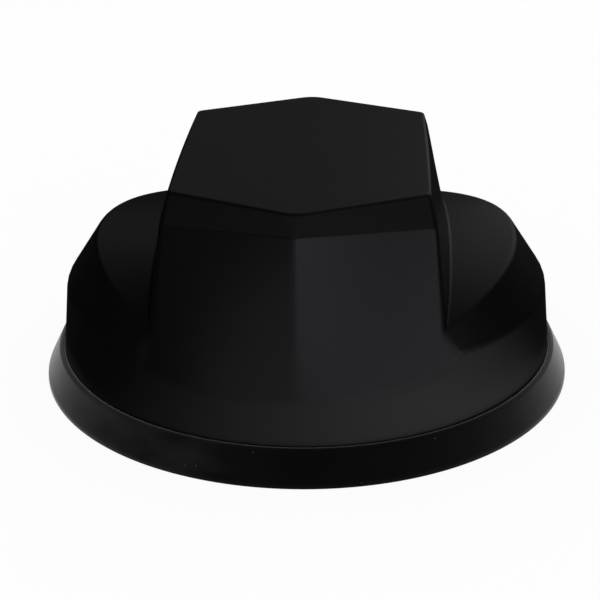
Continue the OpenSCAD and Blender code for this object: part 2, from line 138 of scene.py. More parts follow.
print("middle grey in linear light:", round(linear("#808080")[0], 3))

# %% A general finish with grain, blotches and a little bump
BLOTCH_GRAINS = 6
GRAIN_DETAIL = 3.0
# A Mix node has sockets for each kind of value. These are the ones for colours.
MIX_SHARE = 0
MIX_FROM = 6
MIX_TO = 7
MIX_RESULT = 2


def grained_finish(name, dark, light, rough, grain_mm, bump_mm, stretch=(1, 1, 1), **constants):
    """Two tones mixed by noise, roughness that varies with it, and a fine bump."""
    finish, tree, shader, place = new_finish(name)
    drawn = add_node(tree, "ShaderNodeMapping", {"Vector": place, "Scale": stretch})
    blotch = add_node(tree, "ShaderNodeTexNoise", {
        "Vector": drawn.outputs["Vector"], "Scale": per_metre(grain_mm * BLOTCH_GRAINS),
        "Detail": GRAIN_DETAIL})
    grain = add_node(tree, "ShaderNodeTexNoise", {
        "Vector": drawn.outputs["Vector"], "Scale": per_metre(grain_mm), "Detail": GRAIN_DETAIL})
    tone = add_node(tree, "ShaderNodeMix", {
        MIX_SHARE: blotch.outputs["Fac"], MIX_FROM: linear(dark), MIX_TO: linear(light)},
        data_type="RGBA")
    gloss = add_node(tree, "ShaderNodeMapRange", {
        "Value": grain.outputs["Fac"], "To Min": rough[0], "To Max": rough[1]})
    bump = add_node(tree, "ShaderNodeBump", {
        "Height": grain.outputs["Fac"], "Distance": bump_mm * MM, "Strength": 1.0})
    tree.links.new(tone.outputs[MIX_RESULT], shader.inputs["Base Color"])
    tree.links.new(gloss.outputs["Result"], shader.inputs["Roughness"])
    tree.links.new(bump.outputs["Normal"], shader.inputs["Normal"])
    for socket, value in constants.items():
        shader.inputs[socket.replace("_", " ")].default_value = value
    return finish


finishes = {}
print("blotches are", BLOTCH_GRAINS, "grains wide")

# %% [markdown]
# ## Plastic and rubber
# The cover is moulded from black weatherproof plastic with a satin skin, and the skirt from black
# rubber. Both are nearly black, so the eye reads them by their reflections alone. The plastic gets
# a weak broad gloss. Rubber has a dull skin that turns grey at low angles, which the sheen of the
# shader gives.

# %% Finishes of the cover and the skirt
# Moulded ASA has a finely etched skin: deep black with soft, wide reflections on every face.
finishes["cover_plastic"] = grained_finish(
    "moulded_asa_black", dark="#030304", light="#050506",
    rough=(0.36, 0.4), grain_mm=0.5, bump_mm=0.001, IOR=1.45, Specular_IOR_Level=0.35)
# Moulded EPDM drinks the light from the front and turns grey where it is seen at a low angle.
finishes["skirt_rubber"] = grained_finish(
    "moulded_epdm_rubber", dark="#010101", light="#030303",
    rough=(0.5, 0.6), grain_mm=0.6, bump_mm=0.004,
    Specular_IOR_Level=0.03, Sheen_Weight=0.7, Sheen_Roughness=0.345)
print("finishes:", [finish.name for finish in finishes.values()])

# %% [markdown]
# ## Bloom, painted light and painted shade, and dust
# Wax comes to the surface of moulded rubber and leaves pale clouds, which handling smears along the
# skirt. The clouds also carry painted light and shade. Their pattern is shifted so that a pale cloud
# falls on the skirt's left side, which paints that side lighter. They are cut out at the front right,
# which paints the rubber there black as shade. The clouds could be painted by hand on an unwrapped
# picture. Stretched noise needs no picture and keeps its real size, so it is mixed over the black
# here. Dust is a small spot in some of the cells of a Voronoi pattern.

# %% Bloom on the rubber, with painted light on the left and painted shade at the front right
# Grey of the clouds, which are partly bloom and partly painted light on the skirt's left side
BLOOM_AND_PAINTED_LIGHT_GREY = "#161616"
BLOOM_MM = 16.0
BLOOM_SMEAR = (1.0, 1.0, 3.2)
# The clouds' pattern is shifted so that a pale cloud falls on the left side: painted light there
BLOOM_SHIFT_FOR_PAINTED_LIGHT = Vector((-30.0, 0.0, 0.0)) * MM
BLOOM_DETAIL = 4.0
THIN_CLOUD = 0.2
THICK_CLOUD = 0.8
# Round this spot at the front right the clouds are cut out, so the black there is painted shade
PAINTED_SHADE_SPOT = Vector((24.0, -71.0, 5.0)) * MM
PAINTED_SHADE_R = 22.0 * MM
PAINTED_SHADE_EDGE_R = 62.0 * MM

tree = finishes["skirt_rubber"].node_tree
shader = tree.nodes["Principled BSDF"]
black = shader.inputs["Base Color"].links[0].from_socket
place = add_node(tree, "ShaderNodeTexCoord").outputs["Object"]
smeared = add_node(tree, "ShaderNodeMapping", {
    "Vector": place, "Location": BLOOM_SHIFT_FOR_PAINTED_LIGHT, "Scale": BLOOM_SMEAR})
clouds = add_node(tree, "ShaderNodeTexNoise", {
    "Vector": smeared.outputs["Vector"], "Scale": per_metre(BLOOM_MM), "Detail": BLOOM_DETAIL})
cloud = add_node(tree, "ShaderNodeMapRange", {
    "Value": clouds.outputs["Fac"], "From Min": THIN_CLOUD, "From Max": THICK_CLOUD,
    "To Min": 0.0, "To Max": 1.0}, interpolation_type="SMOOTHSTEP")
# The clouds fade out towards the spot at the front right, which paints shade there
from_painted_shade_spot = add_node(tree, "ShaderNodeVectorMath", {0: place, 1: PAINTED_SHADE_SPOT}, operation="DISTANCE")
outside_painted_shade = add_node(tree, "ShaderNodeMapRange", {
    "Value": from_painted_shade_spot.outputs["Value"], "From Min": PAINTED_SHADE_R, "From Max": PAINTED_SHADE_EDGE_R,
    "To Min": 0.0, "To Max": 1.0}, interpolation_type="SMOOTHSTEP")
bloom_and_painted_light_share = add_node(tree, "ShaderNodeMath", {
    0: cloud.outputs["Result"], 1: outside_painted_shade.outputs["Result"]}, operation="MULTIPLY")
bloomed_with_painted_light = add_node(tree, "ShaderNodeMix", {
    MIX_SHARE: bloom_and_painted_light_share.outputs[0], MIX_FROM: black, MIX_TO: linear(BLOOM_AND_PAINTED_LIGHT_GREY)}, data_type="RGBA")
# Within this distance of the front right, painted shade replaces the clouds
print("painted shade replaces the clouds within", round(PAINTED_SHADE_R / MM), "mm of the front right")

# %% Dust on the rubber
DUST_GREY = "#6a6a66"
DUST_SPACING_MM = 3.0
DUST_SPECK_MM = 0.16
DUST_FREE_SHARE = 0.6

cells = add_node(tree, "ShaderNodeTexVoronoi", {
    "Vector": place, "Scale": per_metre(DUST_SPACING_MM)})
speck = add_node(tree, "ShaderNodeMapRange", {
    "Value": cells.outputs["Distance"],
    "From Min": 0.0, "From Max": DUST_SPECK_MM / DUST_SPACING_MM,
    "To Min": 1.0, "To Max": 0.0}, interpolation_type="SMOOTHSTEP")
chance = add_node(tree, "ShaderNodeSeparateColor", {"Color": cells.outputs["Color"]})
settled = add_node(tree, "ShaderNodeMath", {
    0: chance.outputs["Red"], 1: DUST_FREE_SHARE}, operation="GREATER_THAN")
dust = add_node(tree, "ShaderNodeMath", {
    0: speck.outputs["Result"], 1: settled.outputs[0]}, operation="MULTIPLY")
dusty = add_node(tree, "ShaderNodeMix", {
    MIX_SHARE: dust.outputs[0], MIX_FROM: bloomed_with_painted_light.outputs[MIX_RESULT], MIX_TO: linear(DUST_GREY)},
    data_type="RGBA")
tree.links.new(dusty.outputs[MIX_RESULT], shader.inputs["Base Color"])
print("dust specks are", 2 * DUST_SPECK_MM, "mm across")

# %% [markdown]
# ## Softened paths
# A moulded cover has no knife edges. The outline of each section is written here as a path of
# straight pieces, and every point on it is averaged over a short reach to either side. That rounds
# each corner as far as the reach and leaves the straights as they are, also where two corners come
# close together and a bevel would clash.

# %% Soften a path
NO_LENGTH = 1e-9


def soft_path(path):
    """Stations of the path's corners, and a function that gives a softened point at a station."""
    path = np.array(path, float)
    steps = np.linalg.norm(np.diff(path, axis=0), axis=1)
    stations = np.concatenate([[0.0], np.cumsum(steps)])
    sums = np.cumsum((path[:-1] + path[1:]) / 2 * steps[:, None], axis=0)
    sums = np.concatenate([np.zeros((1, path.shape[1])), sums])

    def total(s):
        i = int(np.clip(np.searchsorted(stations, s, side="right") - 1, 0, len(path) - 2))
        here = path[i] + (path[i + 1] - path[i]) * (s - stations[i]) / max(steps[i], NO_LENGTH)
        return sums[i] + (path[i] + here) / 2 * (s - stations[i])

    def point(s, reach):
        return (total(s + reach) - total(s - reach)) / (2 * reach)

    return stations, point


square_stations, square_point = soft_path([(0, 0), (10, 0), (10, 10)])
print("corner (10, 0), softened over 2 mm:", square_point(square_stations[1], 2))

# %% Choose the rows of points along a path
BEND = (-1.25, -1.0, -0.6, -0.2, 0.2, 0.6, 1.0, 1.25)


def rows_along(corners, reaches, fills):
    """Stations with their reaches: some across each inner corner, and some on the straights."""
    rows = [(corners[0], reaches[0])]
    for i in range(1, len(corners)):
        if i < len(corners) - 1:
            low = (corners[i - 1] + corners[i]) / 2
            high = (corners[i] + corners[i + 1]) / 2
            across = [min(max(corners[i] + b * reaches[i], low), high) for b in BEND]
        else:
            across = [corners[i]]
        start = rows[-1][0]
        count = fills[i - 1]
        for k in range(1, count + 1):
            share = k / (count + 1)
            nearer = reaches[i - 1] if share < 0.5 else reaches[i]
            rows.append((start + (across[0] - start) * share, nearer))
        rows += [(s, reaches[i]) for s in across]
    return rows


print("rows across one corner:", len(BEND))

# %% [markdown]
# ## Cover
# The cover is one moulding: a band with a little draft, a conical chamfer, a ledge that arches from
# front to back, and a hexagonal block with creased panels that lean out to the band. It could be
# made by Boolean union and bevel, but the bevels would break where ledge, chamfer and panel run
# into one point. Instead an edge ring is extruded from outline to outline, and each outline is
# worked out from the sections, so that every edge gets its own softness.

# %% Sizes of the cover, in millimetres
BAND_R = 69.6
BAND_DRAFT = 0.098
SKIRT_H = 9.1
COVER_FOOT_Z = 3.0
LEDGE_Z = 41.0
LEDGE_R = 58.9
ARCH_R = 185.0
CHAMFER_SLOPE = 0.66
WALL = 2.5

# Three outlines give the block: its top face, the lower edge of the strip round it, and the foot of
# its panels. The sides bow outwards, and crease and corner are softened over their own reach.
Level = namedtuple(
    "Level", "half_w corner_y corner_z crease_y crease_z bow crease_reach corner_reach")
TOP = Level(
    half_w=33.7, corner_y=35.6, corner_z=64.0, crease_y=51.9, crease_z=64.0,
    bow=0.5, crease_reach=3.6, corner_reach=1.2)
STRIP = Level(
    half_w=35.4, corner_y=42.1, corner_z=57.5, crease_y=56.5, crease_z=59.8,
    bow=0.7, crease_reach=0.8, corner_reach=1.4)
FOOT = Level(
    half_w=38.9, corner_y=57.8, corner_z=20.0, crease_y=68.75, crease_z=20.0,
    bow=6.3, crease_reach=1.6, corner_reach=2.0)


def band_radius(z, inset):
    return BAND_R + BAND_DRAFT * (SKIRT_H - z) - inset


def chamfer_radius(z, inset):
    return LEDGE_R + CHAMFER_SLOPE * (LEDGE_Z - z) - inset * math.hypot(1, CHAMFER_SLOPE)


def ledge_height(y, inset):
    return LEDGE_Z - ARCH_R + math.sqrt((ARCH_R - inset) ** 2 - y * y)


def band_top(inset):
    """Height at which the chamfer meets the band."""
    return (chamfer_radius(0, inset) - band_radius(0, inset)) / (CHAMFER_SLOPE - BAND_DRAFT)


print("the chamfer runs from", round(band_top(0), 1), "to", LEDGE_Z, "mm above the roof")

# %% Outlines of the block, a quarter at a time
PANEL_INSET = 1.08
PANEL_POINTS = 41
SIDE_POINTS = 81
CREASE_COLUMNS = (0.0, 0.2, 0.4, 0.6, 0.8, 1.0, 1.25)
PANEL_COLUMNS = 14
SIDE_COLUMNS = 22
CLOSER_TO_CORNER = 1.8
PLAIN_REACH = 0.2


def inset_level(level, inset, drop):
    """The level of the cover's inside. The panels lean, so they move by a little more."""
    return level._replace(
        half_w=level.half_w - inset,
        corner_y=level.corner_y - inset * PANEL_INSET,
        corner_z=level.corner_z - drop,
        crease_y=level.crease_y - inset * PANEL_INSET,
        crease_z=level.crease_z - drop)


def arc_y(level, x):
    """Depth of a panel's arched foot at a distance from the crease."""
    rise = level.crease_y - level.corner_y
    arc_r = (level.half_w ** 2 + rise ** 2) / (2 * rise)
    return level.crease_y - arc_r + math.sqrt(arc_r ** 2 - x * x)


def block_outline(level, arched):
    """Points from the front crease to the middle of the right side, with softened corners."""
    panel = []
    for share in np.linspace(0, 1, PANEL_POINTS):
        x = level.half_w * share
        y = level.crease_y + (level.corner_y - level.crease_y) * share
        if arched:
            y = arc_y(level, x)
        panel.append((x, -y, level.crease_z + (level.corner_z - level.crease_z) * share))
    side = []
    for t in np.linspace(-1, 1, SIDE_POINTS):
        side.append((level.half_w + level.bow * (1 - t * t), level.corner_y * t, level.corner_z))
    mirrored = [(-x, y, z) for x, y, z in reversed(panel[1:])]
    stations, point = soft_path(mirrored + panel + side[1:])
    crease_at = len(mirrored)
    corner_at = crease_at + len(panel) - 1
    crease = stations[crease_at]
    corner = stations[corner_at]
    middle = stations[corner_at + SIDE_POINTS // 2]
    columns = [(crease + c * level.crease_reach, level.crease_reach) for c in CREASE_COLUMNS]
    over_corner = rows_along(
        [columns[-1][0], corner, middle], [PLAIN_REACH, level.corner_reach, PLAIN_REACH],
        [PANEL_COLUMNS, 0])
    columns += over_corner[1:-1]
    start = columns[-1][0]
    for k in range(1, SIDE_COLUMNS + 2):
        share = (k / (SIDE_COLUMNS + 1)) ** CLOSER_TO_CORNER
        columns.append((start + (middle - start) * share, PLAIN_REACH))
    return [point(s, reach) for s, reach in columns]


print("columns in a quarter of the cover:", len(block_outline(TOP, False)))

# %% [markdown]
# ## Where the surfaces meet
# A knife cut or a Boolean would find where the block's walls run into the ledge, the chamfer and the
# band, but it would leave faces of any shape. Here each column of points is followed downwards until
# it reaches the next surface. So every column has the same number of points, and the skin is made of
# even rows of quads.

# %% Follow a line of the block downwards
PAST_END = 1.3
SEARCH_STEPS = 200
HALVINGS = 40


def turning_point(test, low, high):
    """The value between low and high from which the test holds, found by halving."""
    for _ in range(HALVINGS):
        middle = (low + high) / 2
        if test(middle):
            high = middle
        else:
            low = middle
    return high


def along(start, end, reached):
    """The first point on the line from start through end at which the test holds."""
    def holds(share):
        return reached(start + (end - start) * share)

    low = 0.0
    high = PAST_END
    for share in np.linspace(low, high, SEARCH_STEPS):
        if holds(share):
            high = share
            break
        low = share
    return start + (end - start) * turning_point(holds, low, high)


def past_band(inset):
    return lambda p: math.hypot(p[0], p[1]) >= band_radius(p[2], inset)


def in_shoulder(inset):
    """The test for a point under the ledge and within the chamfer."""
    return lambda p: (p[2] <= ledge_height(p[1], inset)
                      and math.hypot(p[0], p[1]) <= chamfer_radius(p[2], inset))


print("each search halves its step", HALVINGS, "times")

# %% Where the panels run out on the band, past the corners of the block
FOOT_RUN = 0.35


def panel_line(share, strip, foot):
    """Upper and lower point of the panel at a share of its half width, also past its corner."""
    upper = (strip.half_w * share,
             -(strip.crease_y + (strip.corner_y - strip.crease_y) * share),
             strip.crease_z + (strip.corner_z - strip.crease_z) * share)
    past_corner = max(share - 1, 0)
    lower_y = arc_y(foot, foot.half_w * min(share, 1)) - FOOT_RUN * foot.half_w * past_corner
    return np.array(upper), np.array([foot.half_w * share, -lower_y, foot.corner_z])


def last_share(strip, foot, inset):
    """Share of the half width at which the panel's lower edge reaches the chamfer."""
    def at_chamfer(share):
        return along(*panel_line(share, strip, foot), past_band(inset))[2] >= band_top(inset)

    return turning_point(at_chamfer, 1.0, PAST_END)


crease_end = along(*panel_line(0, STRIP, FOOT), past_band(0))
print("the front crease ends", round(crease_end[2], 1), "mm above the roof")

# %% Ledge edge outside a point of the side wall
BELOW_LEDGE = 0.01


def ledge_edge(meeting, inset):
    """The ledge's outer edge on the ray through the point, or the point if it is on the chamfer."""
    if meeting[2] < ledge_height(meeting[1], inset) - BELOW_LEDGE:
        return meeting
    radius = math.hypot(meeting[0], meeting[1])
    ray = meeting[:2] / radius

    def over_chamfer(distance):
        return distance > chamfer_radius(ledge_height(ray[1] * distance, inset), inset)

    edge = ray * turning_point(over_chamfer, radius, BAND_R)
    return np.array([*edge, ledge_height(edge[1], inset)])


def onto_chamfer(p, inset):
    """The point moved level, along its ray from the axis, onto the chamfer."""
    share = chamfer_radius(p[2], inset) / math.hypot(p[0], p[1])
    return p * np.array([share, share, 1])


def on_band(angle, z, inset):
    radius = band_radius(z, inset)
    return np.array([radius * math.sin(angle), -radius * math.cos(angle), z])


def angle_of(p):
    """Angle round the axis, 0 in front and a quarter turn at the right."""
    return math.atan2(p[0], -p[1])


side_edge = ledge_edge(np.array([STRIP.half_w, 0.0, LEDGE_Z]), 0)
print("the ledge's edge at the side is", round(side_edge[0], 1), "mm from the axis")

# %% How far the skin's edges are softened
# The column at which a panel starts to turn into the side, and the column on the arris between them
PANEL_END = len(CREASE_COLUMNS) + PANEL_COLUMNS
ARRIS = PANEL_END + len(BEND) // 2 - 1
# A pair of reaches is for the panels and for the sides.
TOP_REACH = 0.9
STRIP_REACH = (0.5, 3.0)
LEDGE_REACH = 0.8
SHOULDER_REACH = (1.4, 0.9)
INSIDE_REACH = 0.1
SKIN_FILLS = [1, 1, 4, 2, 1, 1, 3]


def skin_reaches(column, inset):
    """Reach at each corner down a column. It changes step by step from the panel to the side."""
    if inset:
        return [INSIDE_REACH] * (len(SKIN_FILLS) + 1)
    onto_side = min(max((column - PANEL_END) / (len(BEND) - 1), 0), 1)
    strip_reach = np.interp(onto_side, (0, 1), STRIP_REACH)
    shoulder_reach = np.interp(onto_side, (0, 1), SHOULDER_REACH)
    return [PLAIN_REACH, TOP_REACH, strip_reach, LEDGE_REACH, LEDGE_REACH, LEDGE_REACH,
            shoulder_reach, PLAIN_REACH]


print("reaches on the arris:", [round(float(reach), 2) for reach in skin_reaches(ARRIS, 0)])

# %% Rows of the cover's skin
PANEL_MARK = 0.76
TOP_FACE_RING = np.array([0.9, 0.9, 1.0])


def skin_rows(inset):
    """Outlines of the skin from the top face to the foot, a quarter of each."""
    strip_level = inset_level(STRIP, inset, inset / 2)
    foot_level = inset_level(FOOT, inset, 0)
    top = block_outline(inset_level(TOP, inset, inset), False)
    strip = block_outline(strip_level, False)
    foot = block_outline(foot_level, True)

    def down_panel(share, reached):
        return along(*panel_line(share, strip_level, foot_level), reached(inset))

    first = foot[PANEL_END][0] / foot_level.half_w
    last = last_share(strip_level, foot_level, inset)
    crossing = down_panel((1 + last) / 2, in_shoulder)
    tip = angle_of(along(strip[ARRIS], foot[ARRIS], in_shoulder(inset)))
    run_out = angle_of(down_panel(last, past_band))
    columns = []
    for i, (rim, upper, lower) in enumerate(zip(top, strip, foot)):
        if i < PANEL_END:
            # A panel runs straight down to the band.
            shoulder = along(upper, lower, past_band(inset))
            meeting = edge = upper + (shoulder - upper) * PANEL_MARK
            halfway = (edge + shoulder) / 2
        elif i <= ARRIS:
            # Round the arris, the panel runs out in a point between chamfer and band.
            meeting = edge = along(upper, lower, in_shoulder(inset))
            share = first + (last - first) * (i - PANEL_END) / (ARRIS - PANEL_END)
            shoulder = down_panel(share, past_band)
            halfway = crossing if i == ARRIS else (edge + shoulder) / 2
        else:
            # A side stands on the ledge, and chamfer and band follow outside it.
            meeting = along(upper, lower, in_shoulder(inset))
            edge = ledge_edge(meeting, inset)
            turned = (angle_of(meeting) - tip) / (math.pi / 2 - tip)
            shoulder = on_band(run_out + (math.pi / 2 - run_out) * turned, band_top(inset), inset)
            halfway = onto_chamfer((edge + shoulder) / 2, inset)
        end = on_band(angle_of(shoulder), COVER_FOOT_Z, inset)
        path = [rim * TOP_FACE_RING, rim, upper, meeting, edge, halfway, shoulder, end]
        stations, point = soft_path(path)
        rows = rows_along(stations, skin_reaches(i, inset), SKIN_FILLS)
        columns.append([point(s, reach) for s, reach in rows])
    return [list(row) for row in zip(*columns)]


outside_rows = skin_rows(0)
inside_rows = skin_rows(WALL)
print("rows of the skin:", len(outside_rows), "outside and", len(inside_rows), "inside")

# %% Whole rings of the cover, down the outside and up the inside
def whole_ring(quarter):
    """The quarter mirrored to a closed ring, counter-clockwise from the front crease."""
    half = quarter + [p * np.array([1, -1, 1]) for p in reversed(quarter[:-1])]
    return half + [p * np.array([-1, 1, 1]) for p in reversed(half[1:-1])]


cover_rings = [whole_ring(row) for row in outside_rows + inside_rows[::-1]]
print("cover rings:", len(cover_rings), "of", len(cover_rings[0]), "points")

# %% [markdown]
# ## Ring extrusion
# By hand, a moulding like this starts as a circle of edges that is extruded again and again, with
# each new ring moved into place. The same is done here. Every point keeps the number of its column
# while it is extruded, so that the script knows where to put it.

# %% Extrude an edge ring through outlines
START_R = 50 * MM
MERGE = 0.003 * MM


def loft(name, rings):
    """A ring of edges is extruded, and each new ring is moved to the next outline."""
    bpy.ops.object.select_all(action="DESELECT")
    bpy.ops.mesh.primitive_circle_add(vertices=len(rings[0]), radius=START_R)
    piece = bpy.context.object
    piece.name = piece.data.name = name
    bpy.ops.object.mode_set(mode="EDIT")
    mesh = bmesh.from_edit_mesh(piece.data)
    column = mesh.verts.layers.int.new("column")
    for i, vertex in enumerate(mesh.verts):
        vertex[column] = i
        vertex.co = Vector(rings[0][i]) * MM
    for ring in rings[1:]:
        bpy.ops.mesh.extrude_edges_move()
        mesh = bmesh.from_edit_mesh(piece.data)
        column = mesh.verts.layers.int["column"]
        for vertex in mesh.verts:
            if vertex.select:
                vertex.co = Vector(ring[vertex[column]]) * MM
        bmesh.update_edit_mesh(piece.data)
    bpy.ops.mesh.select_all(action="SELECT")
    bpy.ops.mesh.remove_doubles(threshold=MERGE)
    bpy.ops.mesh.dissolve_degenerate(threshold=MERGE)
    bpy.ops.mesh.fill_holes(sides=0)
    bpy.ops.mesh.select_all(action="SELECT")
    bpy.ops.mesh.normals_make_consistent(inside=False)
    bpy.ops.object.mode_set(mode="OBJECT")
    piece.data.attributes.remove(piece.data.attributes["column"])
    return piece


cover = loft("cover_moulding", cover_rings)
print("cover faces:", len(cover.data.polygons))

# %% [markdown]
# ## Screw bosses
# Six bosses stand down from the cover's inside to the base plate and take the cover's screws. Each
# is a closed tube with a blind pilot hole. One section is extruded to rings as before, and the six
# tubes are joined to the cover, because they are one moulding.

# %% Add the six bosses inside the cover
BOSS_COUNT = 6
BOSS_RING_R = 58.5
BOSS_FIRST = math.radians(30)
BOSS_STEPS = 24
BOSS_R = 4.0
BOSS_FOOT_Z = 6.0
BOSS_TOP_Z = 34.6
PILOT_R = 1.52
PILOT_TOP_Z = 17.0
BOSS_SECTION = [
    (PILOT_R, PILOT_TOP_Z), (PILOT_R, BOSS_FOOT_Z), (BOSS_R, BOSS_FOOT_Z), (BOSS_R, BOSS_TOP_Z),
]


def circle_points(radius, z, steps, centre=(0, 0)):
    """Points of a level circle, counter-clockwise from the front."""
    turns = [2 * math.pi * i / steps for i in range(steps)]
    return [(centre[0] + radius * math.sin(a), centre[1] - radius * math.cos(a), z) for a in turns]


bosses = []
for i in range(BOSS_COUNT):
    angle = BOSS_FIRST + 2 * math.pi * i / BOSS_COUNT
    centre = (BOSS_RING_R * math.cos(angle), BOSS_RING_R * math.sin(angle))
    bosses.append(loft("boss", [circle_points(r, z, BOSS_STEPS, centre) for r, z in BOSS_SECTION]))
bpy.ops.object.select_all(action="DESELECT")
for boss in bosses:
    boss.select_set(True)
cover.select_set(True)
bpy.context.view_layer.objects.active = cover
bpy.ops.object.join()
print("cover faces with bosses:", len(cover.data.polygons))

# %% Put the cover in its CAD node's place
MOULDED_SHARP = 40


def dress(piece, node, slot, sharp_degrees=MOULDED_SHARP):
    """Smooths the piece, gives it its finish and puts it on the housing in the node's place."""
    bpy.ops.object.select_all(action="DESELECT")
    piece.select_set(True)
    bpy.context.view_layer.objects.active = piece
    bpy.ops.object.shade_smooth_by_angle(angle=math.radians(sharp_degrees))
    piece.data.materials.clear()
    piece.data.materials.append(finishes[slot])
    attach(piece, "housing")
    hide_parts(node)
    print(piece.name, "faces:", len(piece.data.polygons), "replaces", node)


dress(cover, "radome", "cover_plastic")

# %% [markdown]
# ## Rubber skirt
# The skirt is a moulded ring of rubber that seals the cover to the roof. Its section is flared
# outside, lies flat below, and has a thin lip against the cover's band. A spin would turn the
# section round the axis too, but its softened corners come from the same paths as the cover's, so
# the ring extrusion is used again.

# %% Turn the skirt's section round the axis
TURN_STEPS = 192
SKIRT_BORE_R = 62.0
SKIRT_R = 75.0
# From the bore along the underside, up the flare, over the lip and down along the cover's band
SKIRT_SECTION = [
    (SKIRT_BORE_R, 0.0), (SKIRT_R, 0.0), (SKIRT_R, 1.2), (71.25, 8.7), (70.5, SKIRT_H),
    (69.95, SKIRT_H), (69.68, 8.8), (70.25, COVER_FOOT_Z), (SKIRT_BORE_R, COVER_FOOT_Z),
    (SKIRT_BORE_R, 0.0),
]
SKIRT_REACHES = [0.15, 0.25, 0.6, 0.2, 0.2, 0.12, 0.12, 0.15, 0.15, 0.15]
SKIRT_FILLS = [2, 1, 3, 0, 1, 0, 2, 2, 1]


def turned_rings(section, reaches, fills, steps):
    """Rings of points from a section of (radius, height) pairs with softened corners."""
    stations, point = soft_path(section)
    rows = [point(s, reach) for s, reach in rows_along(stations, reaches, fills)]
    return [circle_points(r, z, steps) for r, z in rows]


skirt = loft("rubber_skirt", turned_rings(SKIRT_SECTION, SKIRT_REACHES, SKIRT_FILLS, TURN_STEPS))
dress(skirt, "base_gasket", "skirt_rubber")

# %% [markdown]
# ## Threaded stud
# A hollow brass stud goes through the roof, and the nut runs on its thread. The CAD model has plain
# grooves there. A real thread is one groove that climbs by its pitch in each turn. The screw
# modifier would leave ragged ends, so the rings are extruded in small steps instead, and the radius
# of each point follows from its height and its angle. The groove fades in under the plain shank.

# %% Metal finish of the stud
# Nickel over turned brass: a warm bright metal with faint lathe lines round the axis.
finishes["plated_brass"] = grained_finish(
    "nickel_plated_brass", dark="#b3aea0", light="#cbc7b9",
    rough=(0.2, 0.32), grain_mm=0.8, bump_mm=0.002, stretch=(0.3, 0.3, 3.0), Metallic=1.0)
print("made", finishes["plated_brass"].name)

# %% Rings of the thread
STUD_STEPS = 96
STUD_R = 10.0
STUD_BORE_R = 6.5
STUD_TIP_R = 9.0
STUD_END = -24.0
SHANK_END = -4.0
THREAD_PITCH = 1.5
THREAD_DEPTH = 0.92
THREAD_STEP = 0.075
RUN_OUT = 1.5
CREST_SHARE = 0.125
ROOT_SHARE = 0.25


def groove_share(turn):
    """How deep the groove is at a share of the pitch: 0 on the crest and 1 in the root."""
    flank = (1 - CREST_SHARE - ROOT_SHARE) / 2
    from_root = abs(turn % 1.0 - 0.5) - ROOT_SHARE / 2
    return min(max(1 - from_root / flank, 0), 1)


def thread_ring(z):
    """One level ring of the thread, within the cone of the stud's tip."""
    tip = STUD_TIP_R + z - STUD_END
    depth = THREAD_DEPTH * min((SHANK_END - z) / RUN_OUT, 1)
    ring = []
    for i in range(STUD_STEPS):
        turn = i / STUD_STEPS
        angle = 2 * math.pi * turn
        radius = min(STUD_R - depth * groove_share(z / THREAD_PITCH - turn), tip)
        ring.append((radius * math.sin(angle), -radius * math.cos(angle), z))
    return ring


thread_length = SHANK_END - STUD_END
thread_rows = round(thread_length / THREAD_STEP)
thread_rings = []
for i in range(thread_rows + 1):
    thread_rings.append(thread_ring(STUD_END + thread_length * i / thread_rows))
print("thread rings:", len(thread_rings))

# %% Extrude the stud and cut the flange's screw holes
COLLAR_R = 10.5
FLANGE_R = 20.0
FLANGE_Z = 6.0
FLANGE_TOP_Z = 9.0
FLANGE_HOLES = 4
FLANGE_RING_R = 16.8
FLANGE_FIRST = 45
FLANGE_HOLE_R = 1.6
DRILL_Z = (FLANGE_Z + FLANGE_TOP_Z) / 2
DRILL_LENGTH = 8.0
DRILL_STEPS = 24
TURNED_SHARP = 30
STUD_SECTION = [
    (STUD_R, SHANK_END), (STUD_R, 0.0), (COLLAR_R, 0.0), (COLLAR_R, FLANGE_Z), (FLANGE_R, FLANGE_Z),
    (FLANGE_R, FLANGE_TOP_Z), (STUD_BORE_R, FLANGE_TOP_Z), (STUD_BORE_R, STUD_END),
    (STUD_TIP_R, STUD_END),
]
STUD_REACHES = [0.1, 0.1, 0.1, 0.1, 0.25, 0.25, 0.4, 0.3, 0.1]
STUD_FILLS = [0, 0, 0, 0, 0, 1, 1, 0]

stud_rings = turned_rings(STUD_SECTION, STUD_REACHES, STUD_FILLS, STUD_STEPS)
stud = loft("threaded_stud", stud_rings + thread_rings)
for i in range(FLANGE_HOLES):
    angle = math.radians(FLANGE_FIRST + 360 * i / FLANGE_HOLES)
    spot = Vector((FLANGE_RING_R * math.cos(angle), FLANGE_RING_R * math.sin(angle), DRILL_Z))
    bpy.ops.object.select_all(action="DESELECT")
    bpy.ops.mesh.primitive_cylinder_add(
        vertices=DRILL_STEPS, radius=FLANGE_HOLE_R * MM, depth=DRILL_LENGTH * MM, location=spot * MM)
    drill = bpy.context.object
    bpy.context.view_layer.objects.active = stud
    bore = stud.modifiers.new("screw_hole", "BOOLEAN")
    bore.object = drill
    bpy.ops.object.modifier_apply(modifier=bore.name)
    bpy.data.objects.remove(drill)
dress(stud, "mounting_stud", "plated_brass", TURNED_SHARP)

# %% [markdown]
# ## Finishes of the pieces that keep their CAD shape
# The plate, boards, screws, washer and nut already have the right shape. They get a finish each,
# by the material slot that the record gives them. Rolled and drawn metals have their noise
# stretched along the direction of rolling.

# %% Metals
# Die-cast aluminium has the fine orange peel of the die and shines softly.
finishes["die_cast_aluminium"] = grained_finish(
    "die_cast_aluminium", dark="#8f9194", light="#a9abad",
    rough=(0.42, 0.58), grain_mm=0.7, bump_mm=0.012, Metallic=1.0)
# Turned stainless steel is bright and cool, with short scratches from the tool.
finishes["screw_steel"] = grained_finish(
    "turned_stainless_steel", dark="#b1b2b5", light="#c8c9cb",
    rough=(0.2, 0.34), grain_mm=0.25, bump_mm=0.002, Metallic=1.0)
